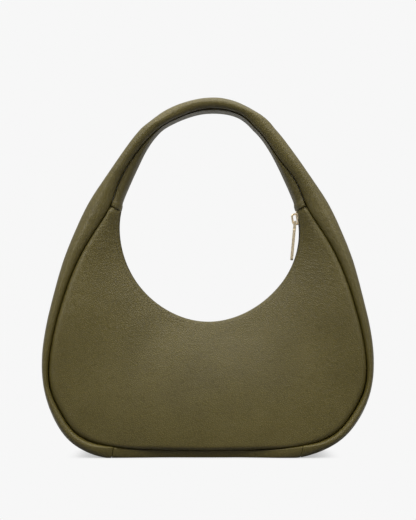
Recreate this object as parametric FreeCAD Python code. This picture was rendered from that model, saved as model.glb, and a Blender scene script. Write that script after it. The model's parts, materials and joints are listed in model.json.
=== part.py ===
"""A crescent hobo bag: two leather panels, one long leather strip that is both the
sides and the handle, a base piece, a curved zip with its slider and pull, and what
the bag holds inside.  Millimetres, +Z up, front towards -Y, origin under the middle
of the base.

Every long piece bends round the axis of the zip's arc, a line along Y at height
ARC_Z.  So each piece is lofted through sections in planes that contain that axis.  A
section is drawn as (radius from the axis, y), and its plane is named by the angle
from straight down, positive towards +X.
"""

import FreeCAD, Part
import math
import os

V = FreeCAD.Vector

# ---- driving dimensions -------------------------------------------------------

ARC_Z = 224.0            # height of the zip arc's axis
EDGE_RADIUS = 90.0       # radius of the folded panel edges along the zip
EDGE_Y = 12.0            # half the width of the zip's gap, at the folded edges
EDGE_Y_HORN = 10.0       # the same, where the panels narrow to their horns

LEATHER = 1.8            # thickness of the outer leather
PADDING = 2.0            # thickness of the padding behind it
LINING = 0.6             # thickness of the lining cloth
GAP = 0.9                # space between layers
SEAM_GAP = 1.2           # space between a panel's edge and the strip it is sewn to
END_GAP = 0.15           # degrees left free where two pieces meet end to end

SEAM_TUCK = 4.5          # how far a seam sits in from the crest of the roll beside it
ROLL_CREST = 0.45        # where the crest lies, as a share from the seam to the outside
BASE_ROLL = 7.0          # width of the base piece's rounded edge, along Y
BASE_TRIM = 0.3          # cut off below the base, which leaves a true plane to rest on

# exponents of the curves, where 2 is an ellipse and more is squarer
SQUARE_BODY = 5.0        # the strip's section where the bag is deepest
SQUARE_HANDLE = 2.4      # the same at the top of the handle
PANEL_RISE = 1.9         # how quickly a panel rises from the zip to its crown
SWELL = 4.0              # how far a panel stands proud of its seam
SWELL_REACH = 20.0       # width of panel that the swell needs to reach half of that
SWELL_EDGE = 4.0         # distance from the seam over which the swell falls away
FACING_POWER = 0.75      # the facing's section: 1 is an ellipse, less is squarer

# Half of the outline, from the middle of the base round to the top of the handle:
# x and z of the outside, radius of the seam, half of the depth.
OUTLINE = [
    (0.0, 0.0, 216.5, 44.0),
    (48.0, 0.0, 220.7, 44.0),
    (94.0, 0.0, 231.5, 44.0),
    (118.0, 6.5, 236.5, 44.0),
    (136.0, 17.5, 236.5, 44.0),
    (152.0, 37.5, 229.5, 43.5),
    (163.0, 65.0, 218.0, 43.0),
    (166.2, 92.0, 200.0, 42.0),
    (163.5, 124.0, 177.0, 39.5),
    (156.5, 157.5, 154.5, 35.5),
    (146.5, 193.5, 132.0, 31.0),
    (134.0, 225.0, 113.5, 27.5),
    (119.0, 255.0, 102.0, 24.5),
    (104.0, 277.5, 102.5, 23.0),
    (83.5, 307.5, 106.5, 22.0),
    (61.0, 335.0, 113.5, 21.5),
    (34.0, 352.5, 119.5, 21.0),
    (0.0, 360.0, 123.0, 21.0),
]
BASE_SEAM = 2            # row where the base piece meets the side strip
HORN = 12                # row where the panels end and the handle's facing begins
FACING_NOSE = {12: 90.6, 13: 91.2, 14: 98.0, 15: 111.0, 16: 120.5, 17: 124.5}

# the zip
TAPE_RADIUS = 93.7       # inner face of the tape
TAPE_THICK = 0.7
TAPE_INNER_Y = 2.4
TAPE_OUTER_Y = 9.4
TAPE_END = 104.3         # degrees each way from straight down
COIL_RADIUS = 92.5       # inner face of the coil
COIL_THICK = 1.1
COIL_INNER_Y = 0.7
COIL_OUTER_Y = 2.9
COIL_PITCH = 2.2
COIL_END = 102.6
STOP_START = 103.2       # degrees
STOP_LONG = 0.9          # degrees
STOP_THICK = 1.8
STOP_Y = 3.2

# the slider: a plate on each side of the coil, joined by a post between the rows
SLIDER_ANGLE = 99.0      # rest place, at the closed end of the zip
SLIDER_LONG = 12.4
SLIDER_WIDE = 8.6        # at the shoulders, which lead when the zip is closed
SLIDER_TAIL = 6.4        # at the other end
TOP_PLATE = (90.9, 92.1)       # radii of the plate on the outside of the bag
BOTTOM_PLATE = (95.1, 96.4)    # radii of the plate on the inside
FLANGE = 0.8
POST_WIDE = 0.8
POST_LONG = 3.2
POST_INSET = 0.6         # from the front edge of the plates
PLATE_CORNER = 1.4       # radius of the plates' corners
SHOULDER = 0.2           # where the full width begins, as a share of half the length
FLANGE_SHARE = 0.45      # length of a flange, as a share of the slider's
FLANGE_ABOVE = 0.4       # space from a flange to the tape
FLANGE_BELOW = 0.3

# the bail, an arch on the slider that the pull hangs from
BAIL_TOP = 85.8          # radius of its highest point
BAIL_LONG = 12.0
BAIL_BAR = 1.9
BAIL_WIDE = 2.4
BAIL_CORNER = 3.2        # radius of the arch's outer corners
BAIL_HOLE_CORNER = 1.6

# the pull: a fork with a cross pin through the bail, and a slim tab
PIN_BACK = 3.0           # how far the pin sits towards the tail of the slider
PIN_RADIUS = 89.0        # distance of the pin from the arc's axis
TIP_RADIUS = 89.2        # the same for the tip of the tab, at rest
PIN_R = 0.7
FORK_R = 1.4
CHEEK = 0.9
FORK_GAP = 0.3
NECK_START = 4.2
NECK_LONG = 4.2
TAB_START = 7.0          # from the pin, so that the neck runs into the tab
TAB_LONG = 31.8
TAB_WIDE = 6.6
TAB_THICK = 2.6
TAB_TIP_CORNER = 2.8
TAB_NECK_CORNER = 1.4

# inside
BOARD_LONG = 190.0
BOARD_DEEP = 66.0
BOARD_THICK = 1.5
BOARD_CORNER = 14.0
CORE_SHARE = 0.9         # width of the handle's filling, as a share of the facing's
TAPE_HANDLE_WIDE = 16.0
TAPE_HANDLE_THICK = 0.8
POCKET_HALF_ANGLE = 24.0

AXIS_POINT = V(0, 0, ARC_Z)
AXIS = V(0, 1, 0)


# ---- sections and lofts -------------------------------------------------------

class Station:
    """One plane through the arc's axis, with the bag's measures in it."""

    def __init__(self, x, z, seam, depth, row):
        self.angle = math.atan2(x, ARC_Z - z)
        self.outer = math.hypot(x, ARC_Z - z)
        self.seam = seam
        self.depth = depth
        self.row = row

    def mirrored(self):
        other = Station(0, 0, self.seam, self.depth, self.row)
        other.angle = -self.angle
        other.outer = self.outer
        return other

    def turned(self, degrees):
        other = self.mirrored()
        other.angle = self.angle + math.radians(degrees)
        return other


HALF = [Station(*values, row) for row, values in enumerate(OUTLINE)]


def both_sides(first, last):
    """Stations from row `last` on the left, through row `first`, to `last` on the right."""
    right = HALF[first:last + 1]
    left = [station.mirrored() for station in reversed(right)]
    if first == 0:
        left.pop()
    return left + right


def over_the_top(first):
    """Stations from row `first` on the right, over the handle, to the same row on the left."""
    right = HALF[first:]
    left = [station.mirrored() for station in reversed(right[:-1])]
    for station in left:
        station.angle += 2 * math.pi
    return right + left


def shortened(stations, degrees):
    """The same stations with both ends drawn back by an angle."""
    first = stations[0].turned(degrees)
    last = stations[-1].turned(-degrees)
    return [first] + stations[1:-1] + [last]


def at(angle, radius, y):
    return V(radius * math.sin(angle), y, ARC_Z - radius * math.cos(angle))


def curve(angle, profile):
    line = Part.BSplineCurve()
    line.interpolate([at(angle, radius, y) for radius, y in profile])
    return line.toShape()


def straight(angle, start, end):
    return Part.makeLine(at(angle, *start), at(angle, *end))


def strip_wire(angle, outer, inner):
    """Closed section between two curves that run the same way."""
    return Part.Wire([
        curve(angle, outer),
        straight(angle, outer[-1], inner[-1]),
        curve(angle, inner[::-1]),
        straight(angle, inner[0], outer[0]),
    ])


def box_wire(angle, radius_in, radius_out, y_low, y_high):
    corners = [(radius_in, y_low), (radius_out, y_low), (radius_out, y_high), (radius_in, y_high)]
    points = [at(angle, *corner) for corner in corners]
    return Part.makePolygon(points + points[:1])


def loft(wires):
    solid = Part.makeLoft(wires, True, False)
    if solid.Volume < 0:
        solid.reverse()
    return solid


def upright_edges(shape):
    return [edge for edge in shape.Edges if abs(edge.tangentAt(edge.FirstParameter).z) > 0.9]


def save(name, shape):
    if not shape.isValid():
        raise ValueError(name + " is not a valid shape")
    shape.exportStep("parts/" + name + ".step")
    print("%-24s %2d solids %10.1f mm3" % (name, len(shape.Solids), shape.Volume))


# ---- the side and handle strip --------------------------------------------------

def squareness(depth):
    """Exponent of the roll's curve: nearly square on the deep body, round on the handle."""
    deepest = OUTLINE[0][3]
    slimmest = OUTLINE[-1][3]
    share = (depth - slimmest) / (deepest - slimmest)
    return SQUARE_HANDLE + (SQUARE_BODY - SQUARE_HANDLE) * share


def strip_profile(station, inset):
    """Front seam, over the outside, to the back seam, moved in by `inset`."""
    depth = station.depth - inset
    outer = station.outer - inset
    crest = station.seam + ROLL_CREST * (outer - station.seam)
    power = 2.0 / squareness(station.depth)
    front = [
        (station.seam, -(depth - SEAM_TUCK)),
        (0.6 * station.seam + 0.4 * crest, -(depth - 0.3 * SEAM_TUCK)),
    ]
    for degrees in (0, 20, 38, 54, 70):
        turn = math.radians(degrees)
        radius = crest + (outer - crest) * math.sin(turn) ** power
        front.append((radius, -depth * math.cos(turn) ** power))
    back = [(radius, -y) for radius, y in reversed(front)]
    return front + [(outer, 0.0)] + back


def side_strip():
    stations = shortened(over_the_top(BASE_SEAM), END_GAP)
    return loft([
        strip_wire(s.angle, strip_profile(s, 0.0), strip_profile(s, LEATHER))
        for s in stations
    ])


def behind_strip(stations, inset, thick):
    """A layer behind the strip, from the crest of one roll to the crest of the other."""
    return loft([
        strip_wire(s.angle, strip_profile(s, inset)[2:-2], strip_profile(s, inset + thick)[2:-2])
        for s in stations
    ])


def side_padding(side):
    stations = HALF[BASE_SEAM + 1:HORN]
    if side < 0:
        stations = [station.mirrored() for station in stations]
    return behind_strip(stations, LEATHER + GAP, PADDING)


def strip_lining():
    inset = LEATHER + PADDING + 2 * GAP
    return behind_strip(both_sides(0, HORN - 1), inset, LINING)


# ---- the base -------------------------------------------------------------------

def base_profile(station, inset):
    """Back roll of the base piece; between it and the front roll the base is flat."""
    flat = (ARC_Z + BASE_TRIM) / math.cos(station.angle) - inset
    depth = station.depth - inset
    crest = station.seam + ROLL_CREST * (flat - station.seam)
    roll = [(station.seam, depth - SEAM_TUCK)]
    for degrees in (0, 25, 50, 70, 90):
        turn = math.radians(degrees)
        radius = crest + (flat - crest) * math.sin(turn)
        roll.append((radius, depth - BASE_ROLL * (1.0 - math.cos(turn))))
    return roll


def base_wire(station):
    outside = base_profile(station, 0.0)
    inside = base_profile(station, LEATHER)
    front_outside = [(radius, -y) for radius, y in outside]
    front_inside = [(radius, -y) for radius, y in inside]
    angle = station.angle
    return Part.Wire([
        curve(angle, front_outside),
        straight(angle, front_outside[-1], outside[-1]),
        curve(angle, outside[::-1]),
        straight(angle, outside[0], inside[0]),
        curve(angle, inside),
        straight(angle, inside[-1], front_inside[-1]),
        curve(angle, front_inside[::-1]),
        straight(angle, front_inside[0], front_outside[0]),
    ])


def base_piece():
    stations = shortened(both_sides(0, BASE_SEAM), END_GAP)
    piece = loft([base_wire(station) for station in stations])
    half_long = OUTLINE[BASE_SEAM][0]
    half_deep = OUTLINE[BASE_SEAM][3]
    below = Part.makeBox(2 * half_long, 2 * half_deep, 1.0, V(-half_long, -half_deep, -1.0))
    return piece.cut(below)


def base_board():
    z = LEATHER + GAP
    board = Part.makeBox(BOARD_LONG, BOARD_DEEP, BOARD_THICK, V(-BOARD_LONG / 2, -BOARD_DEEP / 2, z))
    return board.makeFillet(BOARD_CORNER, upright_edges(board))


# ---- the panels and what lies behind them ----------------------------------------

def panel_point(station, share, inset):
    """Point on a front panel's surface, `share` of the way from the zip to the seam."""
    edge_y = EDGE_Y if station.row < HORN - 1 else EDGE_Y_HORN
    width = station.seam - EDGE_RADIUS
    radius = EDGE_RADIUS + share * (width - SEAM_GAP)
    seam_y = station.depth - SEAM_TUCK
    swell = SWELL * width / (width + SWELL_REACH)
    y = edge_y + (seam_y + swell - edge_y) * (1.0 - (1.0 - share) ** PANEL_RISE)
    y -= swell * math.exp(-((station.seam - radius) / SWELL_EDGE) ** 2)
    return radius, -(y - inset)


def panel_sheet(stations, shares, inset, thick, side):
    """A curved sheet behind the panel surface; side -1 is the front, +1 the back."""
    wires = []
    for station in stations:
        outer = [panel_point(station, share, inset) for share in shares]
        inner = [panel_point(station, share, inset + thick) for share in shares]
        outer = [(radius, -side * y) for radius, y in outer]
        inner = [(radius, -side * y) for radius, y in inner]
        wires.append(strip_wire(station.angle, outer, inner))
    return loft(wires)


def panel(side):
    shares = (0.0, 0.1, 0.25, 0.45, 0.65, 0.82, 0.92, 0.97, 1.0)
    return panel_sheet(both_sides(0, HORN), shares, 0.0, LEATHER, side)


def panel_padding(side):
    shares = (0.15, 0.3, 0.5, 0.7, 0.8, 0.86)
    return panel_sheet(both_sides(0, HORN - 3), shares, LEATHER + GAP, PADDING, side)


def panel_lining(side):
    shares = (0.15, 0.3, 0.5, 0.7, 0.8, 0.88)
    return panel_sheet(both_sides(0, HORN - 2), shares, LEATHER + PADDING + 2 * GAP, LINING, side)


def slip_pocket():
    inset = LEATHER + PADDING + LINING + 3 * GAP
    middle = HALF[0]
    outermost = HALF[2]
    stations = [outermost.mirrored(), HALF[1].mirrored(), middle, HALF[1], outermost]
    return panel_sheet(stations, (0.3, 0.45, 0.6, 0.72, 0.82), inset, LINING, 1)


# ---- the handle -------------------------------------------------------------------

def facing_profile(station, inset):
    """The strip that closes the handle from below: it bulges out near the horns and
    lies flat between the two rolls at the top."""
    width = station.depth - SEAM_TUCK - LEATHER - GAP - inset
    drop = station.seam - FACING_NOSE[station.row] - inset
    points = []
    for degrees in (0, 20, 42, 66, 90, 114, 138, 160, 180):
        turn = math.radians(degrees)
        y = -math.copysign(abs(math.cos(turn)) ** FACING_POWER, math.cos(turn)) * width
        points.append((station.seam - drop * abs(math.sin(turn)) ** FACING_POWER, y))
    return points


def handle_facing():
    stations = shortened(over_the_top(HORN), 2 * END_GAP)
    return loft([
        strip_wire(s.angle, facing_profile(s, 0.0), facing_profile(s, LEATHER))
        for s in stations
    ])


def core_wire(station):
    """Soft filling between the strip and the facing."""
    upper = strip_profile(station, LEATHER + 3 * GAP + TAPE_HANDLE_THICK)[2:-2]
    facing = facing_profile(station, LEATHER + GAP)
    lower = [(radius + LEATHER + GAP, y * CORE_SHARE) for radius, y in facing]
    return strip_wire(station.angle, upper, lower)


def handle_core():
    stations = shortened(over_the_top(HORN), 4 * END_GAP)
    return loft([core_wire(station) for station in stations])


def handle_tape():
    """Woven tape that carries the load, laid along the core just under the strip."""
    wires = []
    half = TAPE_HANDLE_WIDE / 2
    for station in over_the_top(HORN):
        top = station.outer - LEATHER - 1.5 * GAP
        upper = [(top, -half), (top, half)]
        lower = [(top - TAPE_HANDLE_THICK, -half), (top - TAPE_HANDLE_THICK, half)]
        wires.append(strip_wire(station.angle, upper, lower))
    return loft(wires)


# ---- the zip -----------------------------------------------------------------------

def arc_block(radius_in, radius_out, y_low, y_high, start, end):
    """A piece of a ring round the arc's axis, between two angles in degrees."""
    start = math.radians(start)
    profile = Part.Face(box_wire(start, radius_in, radius_out, y_low, y_high))
    return profile.revolve(AXIS_POINT, AXIS, -(end - math.degrees(start)))


def zip_tape(side):
    low, high = sorted((side * TAPE_INNER_Y, side * TAPE_OUTER_Y))
    return arc_block(TAPE_RADIUS, TAPE_RADIUS + TAPE_THICK, low, high, -TAPE_END, TAPE_END)


def zip_coil(side):
    """One row of the coil, as separate turns sitting on its tape."""
    turns = int(2 * math.radians(COIL_END) * COIL_RADIUS / COIL_PITCH)
    step = 2 * COIL_END / turns
    low, high = sorted((side * COIL_INNER_Y, side * COIL_OUTER_Y))
    offset = 0.25 * side * step
    blocks = []
    for i in range(turns):
        middle = -COIL_END + (i + 0.5) * step + offset
        start = middle - 0.3 * step
        end = middle + 0.3 * step
        blocks.append(arc_block(COIL_RADIUS, COIL_RADIUS + COIL_THICK, low, high, start, end))
    return Part.makeCompound(blocks)


def zip_stop(end):
    """A metal clip across the tapes: -1 is the open end of the zip, +1 the closed end."""
    near = end * STOP_START
    far = end * (STOP_START + STOP_LONG)
    low, high = sorted((near, far))
    return arc_block(TAPE_RADIUS - STOP_THICK, TAPE_RADIUS - 0.1, -STOP_Y, STOP_Y, low, high)


# ---- slider and pull: drawn at the bottom of the arc, then turned to the rest place ---

def radial_z(radius):
    return ARC_Z - radius


def to_rest(shape):
    turned = shape.copy()
    turned.rotate(AXIS_POINT, AXIS, -SLIDER_ANGLE)
    return turned


def slider_plate(radii):
    """Plate with wide shoulders at +X and a narrower tail at -X."""
    half = SLIDER_LONG / 2
    wide = SLIDER_WIDE / 2
    tail = SLIDER_TAIL / 2
    shoulder = half * SHOULDER
    z = radial_z(radii[1])
    front_half = [(-half, -tail), (shoulder, -wide), (half, -wide)]
    back_half = [(x, -y) for x, y in reversed(front_half)]
    points = [V(x, y, z) for x, y in front_half + back_half]
    plate = Part.Face(Part.makePolygon(points + points[:1])).extrude(V(0, 0, radii[1] - radii[0]))
    return plate.makeFillet(PLATE_CORNER, upright_edges(plate))


def slider_flanges(radius_in, radius_out):
    """Walls along both sides of a plate that hold the coil in."""
    long = SLIDER_LONG * FLANGE_SHARE
    inner_y = SLIDER_WIDE / 2 - FLANGE
    height = radius_out - radius_in
    wall = Part.makeBox(long, FLANGE, height, V(0, inner_y, radial_z(radius_out)))
    return wall.fuse(wall.mirror(V(0, 0, 0), AXIS))


def slider_body():
    post_start = SLIDER_LONG / 2 - POST_LONG - POST_INSET
    top = slider_plate(TOP_PLATE)
    bottom = slider_plate(BOTTOM_PLATE)
    post = Part.makeBox(POST_LONG, POST_WIDE, BOTTOM_PLATE[0] - TOP_PLATE[1],
                        V(post_start, -POST_WIDE / 2, radial_z(BOTTOM_PLATE[0])))
    upper = slider_flanges(TOP_PLATE[1], TAPE_RADIUS - FLANGE_ABOVE)
    lower = slider_flanges(TAPE_RADIUS + TAPE_THICK + FLANGE_BELOW, BOTTOM_PLATE[0])
    body = top.fuse([bottom, post, upper, lower]).removeSplitter()
    return to_rest(body)


def rounded_slab(length, foot, top, round_r, wide):
    """An upright slab with its two upper corners rounded, centred on y = 0."""
    half = length / 2
    corner = round_r * (1 - math.sqrt(0.5))
    edges = [
        Part.makeLine(V(-half, 0, foot), V(half, 0, foot)),
        Part.makeLine(V(half, 0, foot), V(half, 0, top - round_r)),
        Part.Arc(V(half, 0, top - round_r), V(half - corner, 0, top - corner),
                 V(half - round_r, 0, top)).toShape(),
        Part.makeLine(V(half - round_r, 0, top), V(-half + round_r, 0, top)),
        Part.Arc(V(-half + round_r, 0, top), V(-half + corner, 0, top - corner),
                 V(-half, 0, top - round_r)).toShape(),
        Part.makeLine(V(-half, 0, top - round_r), V(-half, 0, foot)),
    ]
    slab = Part.Face(Part.Wire(edges)).extrude(V(0, wide, 0))
    slab.translate(V(0, -wide / 2, 0))
    return slab


def slider_bail():
    foot = radial_z(TOP_PLATE[0])
    top = radial_z(BAIL_TOP)
    arch = rounded_slab(BAIL_LONG, foot, top, BAIL_CORNER, BAIL_WIDE)
    hole_long = BAIL_LONG - 2 * BAIL_BAR
    hole = rounded_slab(hole_long, foot - 1.0, top - BAIL_BAR, BAIL_HOLE_CORNER, 2 * BAIL_WIDE)
    return to_rest(arch.cut(hole))


def pin_place():
    """The pull's pin, at rest."""
    back = math.asin(PIN_BACK / PIN_RADIUS)
    angle = math.radians(SLIDER_ANGLE) - back
    return angle, at(angle, PIN_RADIUS, 0)


def pull_tab():
    """A slim plate that hangs below the neck, with its long edges along Z."""
    tab = Part.makeBox(TAB_THICK, TAB_WIDE, TAB_LONG,
                       V(-TAB_THICK / 2, -TAB_WIDE / 2, -TAB_START - TAB_LONG))
    middle = -TAB_START - TAB_LONG / 2
    across = [edge for edge in tab.Edges if abs(edge.tangentAt(edge.FirstParameter).x) > 0.9]
    tip = [edge for edge in across if edge.CenterOfMass.z < middle]
    tab = tab.makeFillet(TAB_TIP_CORNER, tip)
    neck = [edge for edge in tab.Edges
            if edge.Length < TAB_THICK + 0.01 and edge.CenterOfMass.z > middle]
    return tab.makeFillet(TAB_NECK_CORNER, neck)


def pull():
    """Drawn hanging from the origin, leaned until the tab's tip is at TIP_RADIUS, and
    hung from its place in the bail."""
    inner = BAIL_WIDE / 2 + FORK_GAP
    low = -NECK_START - NECK_LONG
    pin = Part.makeCylinder(PIN_R, 2 * (inner + CHEEK), V(0, -inner - CHEEK, 0), AXIS)
    parts = [Part.makeBox(2 * FORK_R, 2 * inner, NECK_LONG, V(-FORK_R, -inner, low)), pull_tab()]
    for y in (-inner - CHEEK, inner):
        parts.append(Part.makeCylinder(FORK_R, CHEEK, V(0, y, 0), AXIS))
        parts.append(Part.makeBox(2 * FORK_R, CHEEK, -low, V(-FORK_R, y, low)))
    whole = pin.fuse(parts).removeSplitter()
    angle, place = pin_place()
    reach = TAB_START + TAB_LONG
    towards_axis = (PIN_RADIUS ** 2 + reach ** 2 - TIP_RADIUS ** 2) / (2 * PIN_RADIUS * reach)
    lean = math.degrees(math.asin(towards_axis) - (angle - math.pi / 2))
    whole.rotate(V(0, 0, 0), AXIS, lean)
    whole.translate(place)
    return whole


# ---- write every piece ----------------------------------------------------------------

os.makedirs("parts", exist_ok=True)

PIECES = {
    "side_and_handle_strip": side_strip(),
    "base_piece": base_piece(),
    "front_panel": panel(-1),
    "back_panel": panel(1),
    "handle_facing": handle_facing(),
    "handle_core": handle_core(),
    "handle_tape": handle_tape(),
    "front_padding": panel_padding(-1),
    "back_padding": panel_padding(1),
    "side_padding_left": side_padding(-1),
    "side_padding_right": side_padding(1),
    "base_board": base_board(),
    "front_lining": panel_lining(-1),
    "back_lining": panel_lining(1),
    "side_lining": strip_lining(),
    "slip_pocket": slip_pocket(),
    "zip_tape_front": zip_tape(-1),
    "zip_tape_back": zip_tape(1),
    "zip_coil_front": zip_coil(-1),
    "zip_coil_back": zip_coil(1),
    "zip_stop_open_end": zip_stop(-1),
    "zip_stop_closed_end": zip_stop(1),
    "zip_slider": slider_body(),
    "zip_slider_bail": slider_bail(),
    "zip_pull": pull(),
}

for name, shape in PIECES.items():
    save(name, shape)

place = pin_place()[1]
print("pull pin at", round(place.x, 3), round(place.y, 3), round(place.z, 3))
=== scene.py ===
"""Looks of a crescent hobo bag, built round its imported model.

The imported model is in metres.  What is drawn here is drawn in millimetres, and scaled
once, where a mesh is made.  Every leather piece bends round the axis of the zip's arc,
a line along Y at height ARC_Z.  A section is a list of (radius from the axis, y) in the
plane at `angle` degrees from straight down, positive towards +X.
"""

import json
import math

import bmesh
import bpy
import numpy as np
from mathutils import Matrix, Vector


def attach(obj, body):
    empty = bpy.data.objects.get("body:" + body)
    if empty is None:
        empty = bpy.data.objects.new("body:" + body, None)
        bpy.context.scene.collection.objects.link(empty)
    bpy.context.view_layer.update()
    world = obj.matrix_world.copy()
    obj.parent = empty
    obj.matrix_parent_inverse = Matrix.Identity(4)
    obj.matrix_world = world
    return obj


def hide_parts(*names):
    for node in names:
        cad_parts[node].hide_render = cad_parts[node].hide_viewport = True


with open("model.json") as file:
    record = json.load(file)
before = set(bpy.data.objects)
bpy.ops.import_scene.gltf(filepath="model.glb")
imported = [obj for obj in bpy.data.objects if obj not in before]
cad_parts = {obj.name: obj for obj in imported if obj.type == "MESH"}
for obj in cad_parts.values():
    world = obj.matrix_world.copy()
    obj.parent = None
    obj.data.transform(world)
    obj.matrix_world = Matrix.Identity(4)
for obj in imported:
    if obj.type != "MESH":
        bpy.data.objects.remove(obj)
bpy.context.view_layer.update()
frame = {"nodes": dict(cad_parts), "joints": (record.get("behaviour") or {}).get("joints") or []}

MM = 0.001
BAG = "bag"


def joint(name):
    return next(j for j in frame["joints"] if j["name"] == name)


ARC_Z = joint("zip_run")["pos_m"][2] / MM

# ---- sizes of the leather, in millimetres -----------------------------------------

LEATHER = 1.8            # thickness
SEAM_HALF = 0.45         # half of the gap where two pieces meet in a groove
TUCK = 4.0               # how far the leather goes on into a groove
TUCK_LEAN = 1.3          # how far a panel's tuck leans over, to meet the strip's
TUCK_THICK = 1.2         # thickness of a panel's leather in its tuck
ROLL_FALL = 6.5          # depth of a roll's edge in the groove
ROLL_POWER = 2.3         # exponent of a roll's outer curve, where 2 is an ellipse
ROLL_APART = 1.5         # least half width between the front roll and the back roll
CREST_LEAST = 0.3        # least distance from the seam to a roll's crest
GROOVE_INSET = 0.6       # share of an inset by which the groove's wall moves
ROLL_INSET = 0.5         # share of an inset by which a roll gets narrower
CROWN = 2.0              # how far the strip's middle stands out past its edges
CROWN_RISE = (25.0, 60.0)      # degrees over which the crown grows
CROWN_FALL = (90.0, 125.0)     # and over which it dies away
PROUD = 1.5              # how far the padded sides stand out past their solid
PROUD_TOP = 0.7          # the same at the top of the handle
PROUD_RISE = (60.0, 110.0)
PROUD_FALL = (120.0, 155.0)
BASE_RECESS = 8.0        # how far the base's front lies behind the panels
BASE_RECESS_FADE = (8.0, 26.0)
END_ROUND = 0.7          # radius of the rounded ends where base and strip meet
END_FADE = 8.0           # degrees over which a strip turns to its upright end

# Half of the outline, from the middle of the base round to the top of the handle:
# x and z of the outside, radius of the seam, half of the depth.
OUTLINE = [
    (0.0, 0.0, 216.5, 44.0),
    (48.0, 0.0, 220.7, 44.0),
    (94.0, 0.0, 231.5, 44.0),
    (118.0, 6.5, 236.5, 43.6),
    (136.0, 17.5, 236.5, 44.0),
    (152.0, 37.5, 229.5, 43.5),
    (163.0, 65.0, 218.0, 43.0),
    (166.2, 92.0, 200.0, 42.0),
    (163.5, 124.0, 177.0, 39.5),
    (156.5, 157.5, 154.5, 35.5),
    (146.5, 193.5, 132.0, 31.0),
    (134.0, 225.0, 113.5, 27.5),
    (119.0, 255.0, 102.0, 24.5),
    (104.0, 277.5, 102.5, 23.0),
    (83.5, 307.5, 106.5, 22.0),
    (61.0, 335.0, 113.5, 21.5),
    (34.0, 352.5, 120.5, 21.0),
    (0.0, 360.0, 124.2, 21.0),
]
# for each row, the width of a roll along Y, and where its crest lies as a share from
# the seam outwards
ROLL_WIDE = [2.0, 2.0, 5.0, 12.0, 15.0, 18.0, 20.0, 22.0, 24.0, 25.0, 25.0, 24.5,
             23.0, 22.0, 21.0, 20.5, 20.0, 20.0]
ROLL_CREST = [0.0, 0.0, 0.12, 0.32, 0.42] + 13 * [0.45]
HORN = 12                # row where the panels end and the handle's facing begins
LINED = 10               # row where the lining and the side padding end
FACING_NOSE = [92.0, 92.3, 98.4, 111.0, 119.8, 122.0]    # rows from HORN to the top
NOSE_BOTTOM = 89.5       # closes that curve at the bottom, where there is no facing

BASE_LEFT = -21.7        # ends of the base piece, in degrees
BASE_RIGHT = 23.6
END_GAP = 0.05           # degrees between the base and the strip
FLAT_LIMIT = 60.0        # degrees; the flat base ends before this

# the bag isn't quite the same on the left and on the right
LEFT_LEAN = 6.2          # how far the corners of the base lean towards -X
LEAN_HEIGHT = 26.0       # height over which that lean dies away
MIDDLE_LEAN = 0.5        # how far the horns lean towards +X
MIDDLE_LEAN_Z = 228.0
MIDDLE_LEAN_SPREAD = 45.0
TOP_LEAN = 4.6           # how far the top of the handle leans towards +X
TOP_LEAN_START = 337.0   # height at which that lean begins
HOLE_LEAN = 5.0          # how far the handle's underside leans more than its top
HOLE_LEAN_Z = (328.0, 345.0)
HOLE_LEAN_RADIUS = (122.0, 134.0)
RIGHT_SEAM_DROP = 4.5    # how much nearer the hole the seam is on the right limb
RIGHT_SEAM_ANGLE = 137.0
RIGHT_SEAM_SPREAD = 14.0

# the panels
PANEL_EDGE_Y = 12.0      # half the width of the zip's mouth
FOLD = 1.2               # radius of the folded edge along the zip
FOLD_REACH = 5.4         # how far the folded leather goes on beside the zip
FOLD_THICK = 0.8         # thickness of the leather that is folded in
FOLD_OUTER = (FOLD_REACH, 3.4, FOLD)    # from the mouth, the folded leather's outside
FOLD_INNER = (FOLD_REACH, 3.6, 2.6)     # and its inside
FOLD_CORE = 2.62         # from the mouth, what the fold is laid round
FOLD_CORE_STEP = (0.002, 0.003)         # how the core's points move on with each degree
FOLD_CLEAR = 3.1         # from the mouth, the least for the rest of the inside
PANEL_RISE = 1.9         # exponent of the panel's rise from the mouth to the seam
PANEL_SET = 4.5          # how far an unpadded panel lies behind the widest depth
SWELL = 4.0              # how far padding lifts a wide panel
SWELL_REACH = 20.0       # a panel of this width has half of that lift
PILLOW = 8.0             # width of the rounded edge beside the seam
PILLOW_LOW = 4.5         # the same along the base
PILLOW_FADE = (20.0, 45.0)     # degrees over which one becomes the other
PILLOW_SHARE = 0.45      # most of a panel's width that the rounded edge takes
PILLOW_FALL = 1.6        # how far the rounded edge falls, besides the swell
PANEL_END = 107.5        # degrees
HORN_TUCK = (101.5, 105.5)     # degrees over which a panel sinks below the facing
HORN_SINK = 3.2
# radius of the folded edge at each angle
MOUTH = [(-98, 91.2), (-79, 89.5), (-58, 88.4), (-28, 88.7), (0, 90.1), (28, 89.4),
         (50, 90.0), (66, 91.3), (86, 92.2), (98, 92.2), (180, 90.0)]

# the handle's facing
FACING_POWER = 0.75      # below 1, the section is fuller than an ellipse
FACING_TUCK = 5.0        # how far the facing goes on into the groove
FACING_EDGE = 0.1        # share of its height that the facing's edge is rounded over
FACING_OVER = 0.2        # how far it reaches under the roll's edge
FACING_LEFT_END = 105.0  # degrees, where the facing's hem begins at the seam
FACING_RIGHT_END = 105.1
HEM = 4.0                # length of the folded hem
HEM_PROUD = 1.0
HEM_ROUND = 1.6
HEM_RADIUS = 95.0        # distance of the hem from the axis
HEM_SWEEP = 1.4          # degrees by which the hem dips in its middle
HEM_SWEEP_FADE = 16.0    # distance from the end over which the dip dies away
HEM_SWEEP_POWER = 0.8    # below 1, the dip is wide across the facing

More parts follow.
